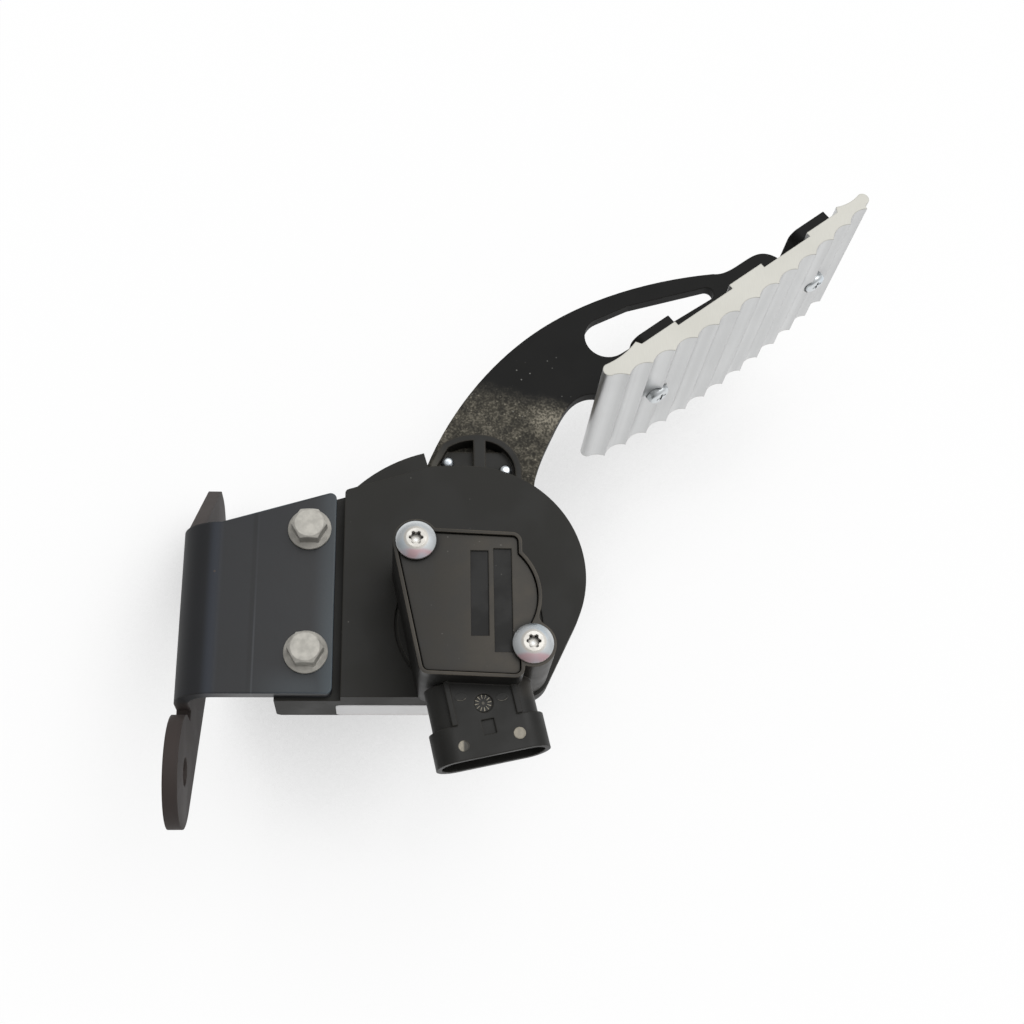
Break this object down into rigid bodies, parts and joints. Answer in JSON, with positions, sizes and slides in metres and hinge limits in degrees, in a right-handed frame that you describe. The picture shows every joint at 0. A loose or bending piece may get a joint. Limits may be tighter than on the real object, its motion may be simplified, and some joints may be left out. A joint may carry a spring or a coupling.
{
  "type": "accelerator pedal",
  "caption": "Suspended electronic accelerator pedal with fluted metal pad, curved arm, sprung pivot housing, position sensor and folded bulkhead bracket.",
  "frame": {"origin": "midway between the two bulkhead bolt holes, on the bracket face that meets the bulkhead", "axes": "+X from the bulkhead towards the driver, +Z along the pivot axis towards the sensor, +Y across, towards the pad's end of the arm"},
  "size_m": [0.2306, 0.2197, 0.1208],
  "materials": {
    "bracket_paint": "satin black paint",
    "bolt_steel": "phosphated steel",
    "brass_insert": "turned",
    "housing_nylon": "moulded glass-filled nylon",
    "zinc_screw": "bright zinc plate",
    "bush_bronze": "sintered",
    "friction_lining": "moulded lining",
    "stop_rubber": "moulded rubber",
    "spring_steel": "oiled steel",
    "sensor_plastic": "moulded",
    "lid_plastic": "moulded",
    "board_laminate": "lacquered laminate",
    "pin_brass": "tinned",
    "rotor_nylon": "moulded glass-filled nylon",
    "arm_paint": "matt black paint",
    "pad_aluminium": "extruded",
    "magnet_ferrite": "sintered"
  },
  "bodies": {
    "mount": {"mounting_bracket": "bracket_paint", "bracket_bolts": "bolt_steel", "bracket_inserts": "brass_insert", "housing": "housing_nylon", "rear_cover": "housing_nylon", "cover_screws": "zinc_screw", "front_bushing": "bush_bronze", "rear_bushing": "bush_bronze", "friction_disc": "friction_lining", "idle_stop": "stop_rubber", "outer_return_spring": "spring_steel", "inner_return_spring": "spring_steel", "sensor_body": "sensor_plastic", "sensor_cover": "lid_plastic", "circuit_board": "board_laminate", "connector_pins": "pin_brass", "sensor_seal": "stop_rubber", "sensor_screws": "zinc_screw", "sensor_inserts": "brass_insert"},
    "pedal": {"pivot_shaft": "spring_steel", "retaining_ring": "spring_steel", "rear_washer": "bolt_steel", "wave_washer": "spring_steel", "rotor": "rotor_nylon", "rotor_screws": "zinc_screw", "pedal_arm": "arm_paint", "pedal_pad": "pad_aluminium", "pad_screws": "zinc_screw", "magnet_carrier": "rotor_nylon", "sensor_magnet": "magnet_ferrite"}
  },
  "joints": [
    {"name": "pedal_pivot", "type": "hinge", "parent": "mount", "child": "pedal", "pos_m": [0.0917, -0.0057, 0.0108], "axis": [0, 0, 1], "range_deg": [0, 18], "stiffness_Nm_per_rad": 8, "springref_deg": -17.76}
  ]
}
